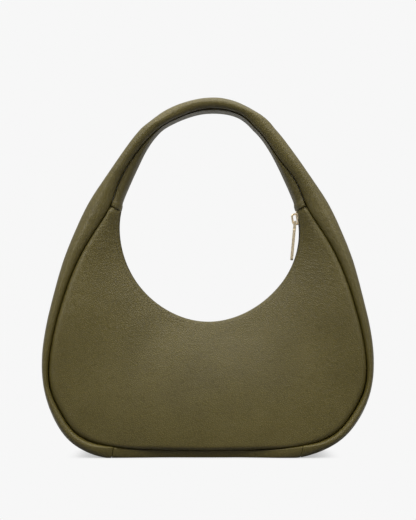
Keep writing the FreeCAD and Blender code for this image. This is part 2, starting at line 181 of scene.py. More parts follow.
# threads
STITCH_PITCH = 3.6
STITCH_LONG = 2.8
STITCH_R = 0.26
STITCH_INSET = 3.0       # from the folded edge
STITCH_PROUD = 0.12      # how far a stitch's middle lies over the leather
STITCH_SINK = 0.30       # how far its ends go down from there
STITCH_DIP = 0.25        # depth of the line that the stitches pull into the leather
STITCH_DIP_WIDE = 0.8
STITCH_CLEAR = 5.0       # degrees without stitches before the facing
STITCH_TAPER = 0.8       # share of a stitch's section that is gone at its ends
STITCH_RINGS = 7
STITCH_SIDES = 8


# ---- curves --------------------------------------------------------------------

def round_spline(knots, values):
    """A smooth curve through `values` at `knots` in degrees, closed after 360."""
    order = np.argsort(knots)
    knots = np.array(knots, float)[order]
    values = np.array(values, float)[order]
    count = len(knots)
    knots = np.append(knots, knots[0] + 360.0)
    values = np.append(values, values[0])
    step = np.diff(knots)
    slope = np.diff(values) / step
    matrix = np.zeros((count, count))
    for i in range(count):
        matrix[i, i - 1] += step[i - 1]
        matrix[i, i] += 2.0 * (step[i - 1] + step[i])
        matrix[i, (i + 1) % count] += step[i]
    bend = np.linalg.solve(matrix, 6.0 * (slope - np.roll(slope, 1)))
    bend = np.append(bend, bend[0])

    def at(angle):
        turned = (np.asarray(angle, float) - knots[0]) % 360.0 + knots[0]
        i = np.clip(np.searchsorted(knots, turned, side="right") - 1, 0, count - 1)
        after = turned - knots[i]
        before = knots[i + 1] - turned
        h = step[i]
        return ((bend[i] * before ** 3 + bend[i + 1] * after ** 3) / (6.0 * h)
                + (values[i] / h - bend[i] * h / 6.0) * before
                + (values[i + 1] / h - bend[i + 1] * h / 6.0) * after)
    return at


def mirrored_spline(angles, values):
    """A round spline through values that are the same on the left and on the right."""
    inside = [(a, v) for a, v in zip(angles, values) if 0.0 < a < 180.0]
    knots = list(angles) + [-a for a, v in inside]
    return round_spline(knots, list(values) + [v for a, v in inside])


ROW_ANGLE = [math.degrees(math.atan2(x, ARC_Z - z)) for x, z, seam, depth in OUTLINE]
outer_curve = mirrored_spline(ROW_ANGLE, [math.hypot(x, ARC_Z - z) for x, z, s, d in OUTLINE])
seam_curve = mirrored_spline(ROW_ANGLE, [seam for x, z, seam, depth in OUTLINE])
depth_at = mirrored_spline(ROW_ANGLE, [depth for x, z, seam, depth in OUTLINE])
roll_wide_at = mirrored_spline(ROW_ANGLE, ROLL_WIDE)
roll_crest_at = mirrored_spline(ROW_ANGLE, ROLL_CREST)
nose_at = mirrored_spline([0.0] + ROW_ANGLE[HORN:], [NOSE_BOTTOM] + FACING_NOSE)
mouth_at = round_spline([a for a, r in MOUTH], [r for a, r in MOUTH])


def smooth(value, low, high):
    """0 below `low`, 1 above `high`, and an even curve between them."""
    share = np.clip((value - low) / (high - low), 0.0, 1.0)
    return share * share * (3.0 - 2.0 * share)


def seam_at(angle):
    """Radius of the groove, which sits nearer the hole on the handle's right limb."""
    drop = RIGHT_SEAM_DROP * np.exp(-((angle - RIGHT_SEAM_ANGLE) / RIGHT_SEAM_SPREAD) ** 2)
    return seam_curve(angle) - drop


def outer_at(angle):
    """Radius of the outside, which is a flat line along the base."""
    turned = (angle + 180.0) % 360.0 - 180.0
    if abs(turned) > FLAT_LIMIT:
        proud = PROUD * smooth(abs(turned), *PROUD_RISE)
        proud -= (PROUD - PROUD_TOP) * smooth(abs(turned), *PROUD_FALL)
        return float(outer_curve(angle) + proud)
    flat = ARC_Z / math.cos(math.radians(turned))
    if abs(turned) <= ROW_ANGLE[2]:
        return flat
    return min(flat, float(outer_curve(angle)))


def quarter(distance, radius):
    """Fall of a quarter round at a distance from its end: `radius` at 0, none past it."""
    share = np.clip(1.0 - distance / radius, 0.0, 1.0)
    return radius * (1.0 - np.sqrt(1.0 - share ** 2))


def steps(start, end, step, fine=()):
    """Angles from start to end, with extra ones at the `fine` distances from both ends."""
    count = max(2, int(abs(end - start) / step) + 1)
    angles = list(np.linspace(start, end, count))
    for extra in fine:
        angles += [start + extra, end - extra]
    return np.array(sorted(set(angles)))


def place(angle, section):
    """Points in space of a section, rows of (radius, y), at one angle or one for each row."""
    turn = np.radians(angle)
    section = np.asarray(section, float)
    radius = section[:, 0]
    return np.stack([radius * np.sin(turn), section[:, 1],
                     ARC_Z - radius * np.cos(turn)], axis=1)


def leaned(points):
    """The same points with the bag's small lean in X."""
    z = points[..., 2]
    low = -LEFT_LEAN * np.exp(-np.maximum(z, 0.0) / LEAN_HEIGHT)
    top_z = OUTLINE[-1][1]
    high = TOP_LEAN * (np.maximum(z - TOP_LEAN_START, 0.0) / (top_z - TOP_LEAN_START)) ** 2
    middle = MIDDLE_LEAN * np.exp(-((z - MIDDLE_LEAN_Z) / MIDDLE_LEAN_SPREAD) ** 2)
    radius = np.hypot(points[..., 0], z - ARC_Z)
    hole = HOLE_LEAN * smooth(z, *HOLE_LEAN_Z) * (1.0 - smooth(radius, *HOLE_LEAN_RADIUS))
    moved = points.copy()
    moved[..., 0] += low + middle + high + hole
    return moved


# ---- meshes ----------------------------------------------------------------------

def grid_faces(rows, columns, offset=0, flip=False):
    i, j = np.meshgrid(np.arange(rows - 1), np.arange(columns - 1), indexing="ij")
    a = offset + i * columns + j
    quads = np.stack([a, a + columns, a + columns + 1, a + 1], axis=-1).reshape(-1, 4)
    return quads[:, ::-1] if flip else quads


def rim_faces(rows, columns):
    """Faces that close a shell between its outer grid and its inner grid."""
    inner = rows * columns
    index = np.arange(rows * columns).reshape(rows, columns)
    rim = np.concatenate([index[0, :-1], index[:-1, -1], index[-1, :0:-1], index[:0:-1, 0]])
    after = np.roll(rim, -1)
    return np.stack([rim, after, after + inner, rim + inner], axis=1)


def make_object(name, vertices, faces, material):
    """A smooth piece of the bag, its normals turned outwards; vertices in millimetres."""
    mesh = bpy.data.meshes.new(name)
    mesh.from_pydata((np.asarray(vertices) * MM).tolist(), [], faces)
    work = bmesh.new()
    work.from_mesh(mesh)
    bmesh.ops.recalc_face_normals(work, faces=work.faces)
    work.to_mesh(mesh)
    work.free()
    mesh.polygons.foreach_set("use_smooth", [True] * len(mesh.polygons))
    mesh.materials.append(material)
    piece = bpy.data.objects.new(name, mesh)
    bpy.context.scene.collection.objects.link(piece)
    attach(piece, BAG)
    return piece


def shell(name, outer, inner, material):
    """A closed sheet between an outer grid and an inner grid of points."""
    rows, columns = outer.shape[:2]
    vertices = np.concatenate([outer.reshape(-1, 3), inner.reshape(-1, 3)])
    faces = np.concatenate([
        grid_faces(rows, columns),
        grid_faces(rows, columns, rows * columns, True),
        rim_faces(rows, columns),
    ])
    return make_object(name, vertices, faces.tolist(), material)


WAVES = 7
# what the leather's unevenness is made of, wide waves and small ones: (size, amount)
STRIP_UNEVEN = [(60.0, 0.35), (14.0, 0.08)]
PANEL_UNEVEN = [(75.0, 0.60), (18.0, 0.10)]
FACING_UNEVEN = [(40.0, 0.25), (12.0, 0.08)]
SHEET_UNEVEN = (30.0, 0.22)
PANEL_EVEN_Y = (12.5, 20.0)      # a panel is even beside the zip and uneven past this


def uneven(points, seed, size, amount):
    """A soft unevenness: a few waves of about `size` in fixed random directions."""
    rng = np.random.default_rng(seed)
    total = np.zeros(points.shape[:-1])
    for _ in range(WAVES):
        direction = rng.normal(size=3)
        direction *= 2.0 * math.pi / (np.linalg.norm(direction) * size * rng.uniform(0.7, 1.6))
        total += np.sin(points @ direction + rng.uniform(0.0, 2.0 * math.pi))
    return amount * total / WAVES


def wavy(points, seed, waves):
    """The sum of several kinds of unevenness."""
    return sum(uneven(points, seed + i, *wave) for i, wave in enumerate(waves))


def pushed(outer, inner, amount):
    """The outer grid moved along its normals, away from the inner grid."""
    normal = np.cross(np.gradient(outer, axis=0), np.gradient(outer, axis=1))
    normal /= np.maximum(np.linalg.norm(normal, axis=-1, keepdims=True), 1e-9)
    sign = np.sign(np.sum(normal * (outer - inner)))
    return outer + sign * normal * amount[..., None]


def tube(centres, radius, sides, up):
    """Rings round a line of points; `up` is a direction that the line never follows."""
    centres = np.asarray(centres, float)
    along = np.gradient(centres, axis=0)
    along /= np.linalg.norm(along, axis=1, keepdims=True)
    first = np.cross(along, up)
    first /= np.linalg.norm(first, axis=1, keepdims=True)
    second = np.cross(along, first)
    turn = np.linspace(0.0, 2.0 * math.pi, sides, endpoint=False)
    radius = np.broadcast_to(radius, len(centres))[:, None, None]
    return (centres[:, None] + radius * (first[:, None] * np.cos(turn)[:, None]
                                         + second[:, None] * np.sin(turn)[:, None]))


def tube_faces(rings, sides, offset=0):
    """Faces of a closed tube, its two ends as single faces at the end of the list."""
    faces = []
    for i in range(rings - 1):
        for j in range(sides):
            k = (j + 1) % sides
            a = offset + i * sides
            faces.append([a + j, a + k, a + sides + k, a + sides + j])
    for end in (offset, offset + (rings - 1) * sides):
        faces.append([end + j for j in range(sides)])
    return faces


# ---- materials --------------------------------------------------------------------

def new_material(name):
    material = bpy.data.materials.new(name)
    material.use_nodes = True
    tree = material.node_tree
    return material, tree, tree.nodes["Principled BSDF"]


def object_place(tree):
    """The point being shaded, in metres from the piece's own origin."""
    return tree.nodes.new("ShaderNodeTexCoord").outputs["Object"]


def node(tree, kind, **values):
    """A new node, with its inputs set to values or linked to sockets, by name."""
    made = tree.nodes.new(kind)
    for key, value in values.items():
        if key in made.inputs:
            feed(tree, made.inputs[key], value)
        else:
            setattr(made, key, value)
    return made


def feed(tree, socket, value):
    """Gives an input a value, or links it to an output."""
    if isinstance(value, bpy.types.NodeSocket):
        tree.links.new(value, socket)
    else:
        socket.default_value = value


def math_node(tree, operation, *values):
    made = tree.nodes.new("ShaderNodeMath")
    made.operation = operation
    for socket, value in zip(made.inputs, values):
        feed(tree, socket, value)
    return made.outputs[0]


def ramp(tree, factor, stops):
    """A colour ramp; stops are (position, grey) or (position, (r, g, b))."""
    made = tree.nodes.new("ShaderNodeValToRGB")
    tree.links.new(factor, made.inputs[0])
    elements = made.color_ramp.elements
    while len(elements) < len(stops):
        elements.new(0.5)
    for element, (position, colour) in zip(elements, stops):
        rgb = (colour,) * 3 if isinstance(colour, float) else colour
        element.position = position
        element.color = (*rgb, 1.0)
    return made.outputs[0]


def bump(tree, height, distance, normal=None):
    """Relief `distance` metres deep, over another relief if `normal` is given."""
    made = node(tree, "ShaderNodeBump", Height=height, Distance=distance, Strength=1.0)
    if normal is not None:
        tree.links.new(normal, made.inputs["Normal"])
    return made.outputs[0]


LEATHER_DARK = (0.096, 0.075, 0.014)
LEATHER_MID = (0.118, 0.093, 0.019)
LEATHER_LIGHT = (0.139, 0.110, 0.026)
CREASES_PER_RADIAN = 45.0
CREASES_PER_METRE = 90.0


def wrinkles(tree, where):
    """Fine creases that run across the strip and the panels' horns, stronger higher up."""
    apart = node(tree, "ShaderNodeSeparateXYZ", Vector=where)
    x, y, z = apart.outputs
    up = math_node(tree, "SUBTRACT", z, ARC_Z * MM)
    round_arc = math_node(tree, "ARCTAN2", x, up)
    squares = math_node(tree, "ADD", math_node(tree, "MULTIPLY", x, x),
                        math_node(tree, "MULTIPLY", up, up))
    from_arc = math_node(tree, "SQRT", squares)
    unrolled = node(tree, "ShaderNodeCombineXYZ",
                    X=math_node(tree, "MULTIPLY", round_arc, CREASES_PER_RADIAN),
                    Y=math_node(tree, "MULTIPLY", from_arc, CREASES_PER_METRE),
                    Z=math_node(tree, "MULTIPLY", y, CREASES_PER_METRE))
    crease = node(tree, "ShaderNodeTexNoise", Vector=unrolled.outputs[0], Scale=1.0, Detail=3.0,
                  Roughness=0.6)
    patches = node(tree, "ShaderNodeTexNoise", Vector=where, Scale=30.0, Detail=2.0)
    high = ramp(tree, math_node(tree, "MULTIPLY", z, 2.5), [(0.25, 0.12), (0.6, 1.0)])
    worn = ramp(tree, patches.outputs["Fac"], [(0.4, 0.25), (0.6, 1.0)])
    amount = math_node(tree, "MULTIPLY", high, worn)
    return math_node(tree, "MULTIPLY", crease.outputs["Fac"], amount)


def leather_material():
    """Pebbled olive leather: small rounded cells, fine pores, slow shifts of colour, and painted
    shade in the valleys between the cells.
    """
    material, tree, shader = new_material("olive_pebbled_leather")
    where = object_place(tree)
    bend = node(tree, "ShaderNodeTexNoise", Vector=where, Scale=230.0, Detail=2.0)
    warped = node(tree, "ShaderNodeMixRGB", Fac=0.0025, Color1=where, Color2=bend.outputs["Color"])
    cells = node(tree, "ShaderNodeTexVoronoi", feature="DISTANCE_TO_EDGE",
                 Vector=warped.outputs[0], Scale=560.0)
    pebble = ramp(tree, cells.outputs["Distance"], [(0.0, 0.0), (0.18, 0.55), (0.5, 1.0)])
    pores = node(tree, "ShaderNodeTexNoise", Vector=where, Scale=2600.0, Detail=3.0)
    slow = node(tree, "ShaderNodeTexNoise", Vector=where, Scale=17.0, Detail=4.0, Roughness=0.55)
    speck = node(tree, "ShaderNodeTexNoise", Vector=where, Scale=420.0, Detail=3.0)
    tone = math_node(tree, "MULTIPLY_ADD", slow.outputs["Fac"], 0.72,
                     math_node(tree, "MULTIPLY", speck.outputs["Fac"], 0.28))
    colour = ramp(tree, tone, [(0.30, LEATHER_DARK), (0.5, LEATHER_MID), (0.70, LEATHER_LIGHT)])
    # painted shade: the colour is darkened in the valleys between the pebbles, from the same cells
    # that give the relief
    crease = ramp(tree, pebble, [(0.0, 0.70), (0.6, 1.0)])
    shaded = node(tree, "ShaderNodeMixRGB", blend_type="MULTIPLY", Fac=1.0,
                  Color1=colour, Color2=crease)
    tree.links.new(shaded.outputs[0], shader.inputs["Base Color"])
    rough = ramp(tree, speck.outputs["Fac"], [(0.3, 0.36), (0.7, 0.46)])
    tree.links.new(rough, shader.inputs["Roughness"])
    fine = bump(tree, pores.outputs["Fac"], 0.00002)
    grain = bump(tree, pebble, 0.00021, fine)
    grain = bump(tree, wrinkles(tree, where), 0.0008, grain)
    tree.links.new(grain, shader.inputs["Normal"])
    shader.inputs["IOR"].default_value = 1.5
    shader.inputs["Specular IOR Level"].default_value = 0.4
    return material


def cloth_material(name, dark, light, pitch):
    """Woven cloth: two crossed sets of threads, `pitch` millimetres apart."""
    material, tree, shader = new_material(name)
    where = object_place(tree)
    scale = 1.0 / (pitch * MM) / math.tau
    waves = []
    for direction in ("X", "Z", "Y"):
        wave = node(tree, "ShaderNodeTexWave", bands_direction=direction, Vector=where,
                    Scale=scale, Distortion=0.4)
        waves.append(wave.outputs["Fac"])
    weave = math_node(tree, "MULTIPLY", waves[0], waves[1])
    weave = math_node(tree, "MAXIMUM", weave, waves[2])
    mottle = node(tree, "ShaderNodeTexNoise", Vector=where, Scale=900.0, Detail=2.0)
    tone = math_node(tree, "MULTIPLY", weave, mottle.outputs["Fac"])
    tree.links.new(ramp(tree, tone, [(0.0, dark), (0.7, light)]), shader.inputs["Base Color"])
    tree.links.new(bump(tree, weave, 0.0001), shader.inputs["Normal"])
    shader.inputs["Roughness"].default_value = 0.85
    shader.inputs["Sheen Weight"].default_value = 0.3
    return material


def foam_material(name, dark, light):
    """Felted filling: soft fibres with no direction."""
    material, tree, shader = new_material(name)
    where = object_place(tree)
    fibre = node(tree, "ShaderNodeTexNoise", Vector=where, Scale=700.0, Detail=5.0, Distortion=1.5)
    tree.links.new(ramp(tree, fibre.outputs["Fac"], [(0.3, dark), (0.7, light)]),
                   shader.inputs["Base Color"])
    tree.links.new(bump(tree, fibre.outputs["Fac"], 0.0003), shader.inputs["Normal"])
    shader.inputs["Roughness"].default_value = 0.95
    return material


def board_material():
    """Pressed fibre board."""
    material, tree, shader = new_material("pressed_board")
    where = object_place(tree)
    grain = node(tree, "ShaderNodeTexNoise", Vector=where, Scale=500.0, Detail=6.0)
    tree.links.new(ramp(tree, grain.outputs["Fac"], [(0.3, 0.012), (0.7, 0.035)]),
                   shader.inputs["Base Color"])
    tree.links.new(bump(tree, grain.outputs["Fac"], 0.0001), shader.inputs["Normal"])
    shader.inputs["Roughness"].default_value = 0.8
    return material


def nylon_material():
    """Satin coil of the zip."""
    material, tree, shader = new_material("zip_nylon")
    where = object_place(tree)
    tint = node(tree, "ShaderNodeTexNoise", Vector=where, Scale=400.0, Detail=2.0)
    tree.links.new(ramp(tree, tint.outputs["Fac"], [(0.3, (0.014, 0.012, 0.008)),
                                                   (0.7, (0.030, 0.026, 0.017))]),
                   shader.inputs["Base Color"])
    shader.inputs["Roughness"].default_value = 0.38
    return material


def gold_material():
    """Satin pale gold plate, slightly worn.  A full metal would mirror the dark front of
    the studio, so it is a metal only in part."""
    material, tree, shader = new_material("pale_gold_plate")
    where = object_place(tree)
    wear = node(tree, "ShaderNodeTexNoise", Vector=where, Scale=350.0, Detail=4.0)
    tree.links.new(ramp(tree, wear.outputs["Fac"], [(0.3, (0.97, 0.80, 0.53)),
                                                   (0.7, (1.00, 0.84, 0.57))]),
                   shader.inputs["Base Color"])
    tree.links.new(ramp(tree, wear.outputs["Fac"], [(0.35, 0.26), (0.7, 0.36)]),
                   shader.inputs["Roughness"])
    shader.inputs["Metallic"].default_value = 0.55
    return material


def thread_material():
    """Twisted olive thread."""
    material, tree, shader = new_material("olive_thread")
    where = object_place(tree)
    twist = node(tree, "ShaderNodeTexWave", bands_direction="DIAGONAL", Vector=where, Scale=900.0)
    tree.links.new(ramp(tree, twist.outputs["Fac"], [(0.2, (0.085, 0.072, 0.032)),
                                                    (0.8, (0.17, 0.145, 0.07))]),
                   shader.inputs["Base Color"])
    tree.links.new(bump(tree, twist.outputs["Fac"], 0.00005), shader.inputs["Normal"])
    shader.inputs["Roughness"].default_value = 0.7
    return material


leather = leather_material()
lining_cloth = cloth_material("lining_twill", (0.020, 0.017, 0.010), (0.060, 0.052, 0.032), 0.5)
zip_cloth = cloth_material("zip_tape_weave", (0.007, 0.006, 0.004), (0.026, 0.023, 0.015), 0.55)
webbing = cloth_material("handle_webbing", (0.010, 0.010, 0.010), (0.035, 0.035, 0.035), 0.9)
felt = foam_material("felt_padding", (0.38, 0.37, 0.33), (0.62, 0.60, 0.55))
wadding = foam_material("handle_wadding", (0.55, 0.53, 0.48), (0.78, 0.75, 0.70))
board = board_material()
nylon = nylon_material()
gold = gold_material()
thread = thread_material()


# ---- the strip that is the sides and the handle, and the base ------------------------

CORNER_TURNS = np.radians(np.linspace(0.0, 90.0, 19)[1:])
ROLL_TURNS = np.radians(np.linspace(0.0, 90.0, 11))


def strip_section(angle, inset):
    """Front groove, over the outside, to the back groove, moved in by `inset`."""
    turned = abs((angle + 180.0) % 360.0 - 180.0)
    full = float(depth_at(angle) - BASE_RECESS * (1.0 - smooth(turned, *BASE_RECESS_FADE)))
    depth = full - inset
    outer = outer_at(angle) - inset
    seam = float(seam_at(angle)) + SEAM_HALF + GROOVE_INSET * inset
    crest = seam + max(float(roll_crest_at(angle)) * (outer - seam), CREST_LEAST)
    wide = min(float(roll_wide_at(angle)), full - ROLL_APART) - ROLL_INSET * inset
    crown = CROWN * float(smooth(turned, *CROWN_RISE) * (1.0 - smooth(turned, *CROWN_FALL)))
    front = [(seam, -(depth - ROLL_FALL - TUCK))]
    for turn in ROLL_TURNS:
        front.append((crest - (crest - seam) * math.cos(turn),
                      -(depth - ROLL_FALL * (1.0 - math.sin(turn)))))
    for turn in CORNER_TURNS:
        across, up = math.cos(turn), math.sin(turn)
        reach = (across ** ROLL_POWER + up ** ROLL_POWER) ** (-1.0 / ROLL_POWER)
        y = depth - wide + wide * across * reach
        front.append((crest + (outer - crest) * up * reach - crown * up * (y / depth) ** 2, -y))
    for share in (0.75, 0.5, 0.25, 0.0):
        y = share * (depth - wide)
        front.append((outer - crown * (y / depth) ** 2, -y))
    front = np.array(front)
    back = front[-2::-1] * [1.0, -1.0]
    return np.concatenate([front, back])


END_FINE = (0.03, 0.08, 0.15, 0.24, 0.34, 0.5)    # degrees from an end, for its rounding


def strip_grid(angles, inset, left, right):
    """Points of the strip or the base, its ends at `left` and `right` rounded down."""
    rows = []
    for angle in angles:
        radius = outer_at(angle)
        near = left if abs(angle - left) < abs(right - angle) else right
        away = abs(angle - near)
        depth = max(inset, float(quarter(math.radians(away) * radius, END_ROUND)))
        section = strip_section(angle, depth)
        upright = np.degrees(np.arcsin(radius * math.sin(math.radians(near)) / section[:, 0]))
        if math.cos(math.radians(near)) <= 0.0:
            upright = 180.0 - upright
        upright += round((near - upright[-1]) / 360.0) * 360.0
        share = 1.0 - float(smooth(away, 0.0, END_FADE))
        rows.append(place(angle + share * (upright - near), section))
    return leaned(np.array(rows))


def leather_strip(name, left, right, seed, replaced):
    """A piece of the closed band round the bag, between two angles."""
    angles = steps(left, right, 1.0, END_FINE)
    outer = strip_grid(angles, 0.0, left, right)
    inner = strip_grid(angles, LEATHER, left, right)
    outer = pushed(outer, inner, wavy(outer, seed, STRIP_UNEVEN))
    outer[..., 2] = np.maximum(outer[..., 2], 0.0)
    piece = shell(name, outer, inner, leather)
    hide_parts(replaced)


leather_strip("side_and_handle_leather", BASE_RIGHT + END_GAP, 360.0 + BASE_LEFT - END_GAP, 3,
              "side_and_handle_strip")
leather_strip("base_leather", BASE_LEFT, BASE_RIGHT, 11, "base_piece")


# ---- the panels -----------------------------------------------------------------------

def panel_y(angle, radius):
    """Half of the bag's depth at a panel, at each radius."""
    mouth = float(mouth_at(angle))
    seam = float(seam_at(angle))
    width = seam - mouth
    share = np.clip((radius - mouth) / width, 0.0, 1.0)
    swell = SWELL * width / (width + SWELL_REACH)
    top = float(depth_at(angle)) - PANEL_SET + swell
    y = PANEL_EDGE_Y + (top - PANEL_EDGE_Y) * (1.0 - (1.0 - share) ** PANEL_RISE)
    pillow = PILLOW_LOW + (PILLOW - PILLOW_LOW) * float(smooth(abs(angle), *PILLOW_FADE))
    pillow = min(pillow, PILLOW_SHARE * width)
    fall = np.clip(1.0 - (seam - radius) / pillow, 0.0, 0.999)
    y -= (swell + PILLOW_FALL) * (1.0 - np.sqrt(1.0 - fall ** 2))
    return y - STITCH_DIP * np.exp(-((radius - mouth - STITCH_INSET) / STITCH_DIP_WIDE) ** 2)


# shares of the way from the mouth to the seam, closer together towards both edges
PANEL_SHARES = np.concatenate([
    np.linspace(0.0, 0.12, 10)[1:], np.linspace(0.15, 0.85, 24), np.linspace(0.87, 0.985, 14),
    [0.991, 0.996, 1.0]])
FOLD_DEGREES = range(20, 156, 15)


def panel_fold(mouth):
    """Outer and inner lines of a panel's folded edge, which starts inside, along the zip."""
    wall = PANEL_EDGE_Y - 2.0 * FOLD
    lift = wall + FOLD_THICK
    outer = [(mouth + away, wall) for away in FOLD_OUTER]
    inner = [(mouth + away, lift) for away in FOLD_INNER]
    step_r, step_y = FOLD_CORE_STEP
    for degrees in FOLD_DEGREES:
        turn = math.radians(degrees)
        outer.append((mouth + FOLD - FOLD * math.sin(turn),
                      PANEL_EDGE_Y - FOLD - FOLD * math.cos(turn)))
        inner.append((mouth + FOLD_CORE + step_r * degrees, lift + step_y * degrees))
    return outer, inner


def panel_section(angle):
    """Outer and inner lines of a panel, from the fold beside the zip to the groove."""
    mouth = float(mouth_at(angle))
    seam = float(seam_at(angle)) - SEAM_HALF
    sink = HORN_SINK * float(smooth(abs(angle), *HORN_TUCK))
    outer, inner = panel_fold(mouth)
    start = mouth + 0.5 * FOLD
    for share in PANEL_SHARES:
        radius = start + share * (seam - start)
        y = float(panel_y(angle, radius)) - sink
        outer.append((radius, y))
        inner.append((max(radius - 0.5 * LEATHER * share, mouth + FOLD_CLEAR), y - LEATHER))
    last_r, last_y = outer[-1]
    outer.append((last_r + TUCK_LEAN, last_y - TUCK))
    inner.append((last_r - TUCK_THICK, last_y - TUCK))
    return np.array(outer), np.array(inner)


def leather_panel(name, side, seed, replaced):
    """The front panel, with `side` -1, or the back panel, with 1."""
    outer = []
    inner = []
    for angle in steps(-PANEL_END, PANEL_END, 1.0):
        out_line, in_line = panel_section(angle)
        outer.append(place(angle, out_line * [1.0, side]))
        inner.append(place(angle, in_line * [1.0, side]))
    outer = leaned(np.array(outer))
    inner = leaned(np.array(inner))
    from_zip = smooth(np.abs(outer[..., 1]), *PANEL_EVEN_Y)
    outer = pushed(outer, inner, wavy(outer, seed, PANEL_UNEVEN) * from_zip)
    piece = shell(name, outer, inner, leather)
    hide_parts(replaced)


leather_panel("front_panel_leather", -1.0, 21, "front_panel")
leather_panel("back_panel_leather", 1.0, 31, "back_panel")


def zip_stitches(name, side):
    """A row of sunk stitches along the folded edge of a panel."""
    end = ROW_ANGLE[HORN] - STITCH_CLEAR
    pitch = math.degrees(STITCH_PITCH / (float(mouth_at(0.0)) + STITCH_INSET))
    along = np.linspace(-1.0, 1.0, STITCH_RINGS)
    radii = STITCH_R * np.sqrt(1.0 - STITCH_TAPER * along ** 4)
    vertices = []
    faces = []
    for middle in np.arange(-end, end, pitch):
        spread = math.degrees(0.5 * STITCH_LONG / float(mouth_at(middle)))
        centres = []
        for share in along:
            angle = middle + share * spread
            radius = float(mouth_at(angle)) + STITCH_INSET
            y = float(panel_y(angle, radius)) + STITCH_PROUD - STITCH_SINK * share ** 4
            centres.append(place(angle, [(radius, side * y)])[0])
        rings = leaned(tube(centres, radii, STITCH_SIDES, [0.0, 1.0, 0.0]))
        faces += tube_faces(STITCH_RINGS, STITCH_SIDES, len(vertices))
        vertices += rings.reshape(-1, 3).tolist()
    make_object(name, vertices, faces, thread)


zip_stitches("zip_stitches_front", -1.0)
zip_stitches("zip_stitches_back", 1.0)


# ---- the handle's facing ----------------------------------------------------------------

EDGE_TURNS = np.radians([0.0, 30.0, 60.0, 90.0])
FACING_TURNS = np.radians(np.concatenate([[4.5, 8.0], np.linspace(12.0, 90.0, 18)]))
HEM_FINE = (0.05, 0.12, 0.22, 0.34, 0.5, 0.7, 1.6, 2.2, 2.8, 3.4)    # degrees from an end


def facing_section(angle, inset):
    """Front groove, round the handle's underside, to the back groove, moved in by `inset`."""
    width = float(depth_at(angle)) - ROLL_FALL + FACING_OVER - inset
    seam = float(seam_at(angle)) - SEAM_HALF
    drop = seam - float(nose_at(angle)) - inset
    edge = FACING_EDGE * drop
    half = [(seam, -(width - FACING_TUCK))]
    for turn in EDGE_TURNS:
        half.append((seam - edge * (1.0 - math.cos(turn)),
                     -(width - edge * (1.0 - math.sin(turn)))))
    for turn in FACING_TURNS:
        half.append((seam - drop * math.sin(turn) ** FACING_POWER,
                     -width * abs(math.cos(turn)) ** FACING_POWER))
    half = np.array(half)
    return np.concatenate([half, half[-2::-1] * [1.0, -1.0]])


def facing_grid(angles, inset, hem_proud, first, last):
    """Points of the facing between its two hems; a hem bows down in its middle."""
    middle = np.concatenate([np.zeros(1 + len(EDGE_TURNS)), np.sin(FACING_TURNS)])
    bow = np.concatenate([middle, middle[-2::-1]]) ** HEM_SWEEP_POWER
    rows = []
    for angle in angles:
        end = min(abs(angle - first), abs(last - angle)) * math.radians(1.0) * HEM_RADIUS
        proud = hem_proud * (1.0 - float(smooth(end, HEM, 2.0 * HEM)))
        fold = float(quarter(end, HEM_ROUND))
        sweep = HEM_SWEEP * bow * (1.0 - float(smooth(end, 0.0, HEM_SWEEP_FADE)))
        if abs(last - angle) < abs(angle - first):
            sweep = -sweep
        rows.append(place(angle - sweep, facing_section(angle, inset - proud + fold)))
    return leaned(np.array(rows))


def leather_facing():
    """The strip that closes the handle from below, its two ends folded into hems."""
    ends = FACING_RIGHT_END, 360.0 - FACING_LEFT_END
    angles = steps(*ends, 1.0, HEM_FINE)
    outer = facing_grid(angles, 0.0, HEM_PROUD, *ends)
    inner = facing_grid(angles, LEATHER, 0.0, *ends)
    outer = pushed(outer, inner, wavy(outer, 41, FACING_UNEVEN))
    piece = shell("facing_leather", outer, inner, leather)
    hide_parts("handle_facing")


leather_facing()


# ---- what the bag holds inside -------------------------------------------------------------

PADDING = 2.0            # thickness of each layer, and the space between them
LINING = 0.6
LAYER_GAP = 0.9
PAD_INSET = LEATHER + LAYER_GAP
LINING_INSET = PAD_INSET + PADDING + LAYER_GAP
POCKET_INSET = LINING_INSET + LINING + LAYER_GAP
WADDING_UPPER = LEATHER + 3.6    # how far in from the strip's outside
WADDING_LOWER = LEATHER + 1.4    # and from the facing's
WADDING_NARROW = 0.9     # width of its underside, as a share of the facing's
WADDING_LIFT = 1.6       # how much further from the axis its underside is
INNER_COLUMNS = 30


def inner_sheet(name, side, rows, shares, inset, thick, seed, material, replaced):
    """A soft layer behind a panel, between two shares of the panel's width."""
    limit = ROW_ANGLE[rows]
    outer = []
    inner = []
    for angle in steps(-limit, limit, 2.0):
        mouth = float(mouth_at(angle))
        width = float(seam_at(angle)) - mouth
        radius = mouth + np.linspace(*shares, INNER_COLUMNS) * width
        y = panel_y(angle, radius) - inset
        outer.append(place(angle, np.stack([radius, side * y], axis=1)))
        inner.append(place(angle, np.stack([radius, side * (y - thick)], axis=1)))
    outer = leaned(np.array(outer))
    inner = leaned(np.array(inner))
    moved = uneven(outer, seed, *SHEET_UNEVEN) * side
    outer[..., 1] += moved
    inner[..., 1] += moved
    piece = shell(name, outer, inner, material)
    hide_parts(replaced)
    return piece


def side_layer(name, angles, inset, thick, material, replaced):
    """A soft layer behind the strip, from the crest of one roll to the other."""
    outer = []
    inner = []
    crest = len(ROLL_TURNS) + 1
    for angle in angles:
        outer.append(place(angle, strip_section(angle, inset)[crest:-crest]))
        inner.append(place(angle, strip_section(angle, inset + thick)[crest:-crest]))
    piece = shell(name, leaned(np.array(outer)), leaned(np.array(inner)), material)
    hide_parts(replaced)
    return piece


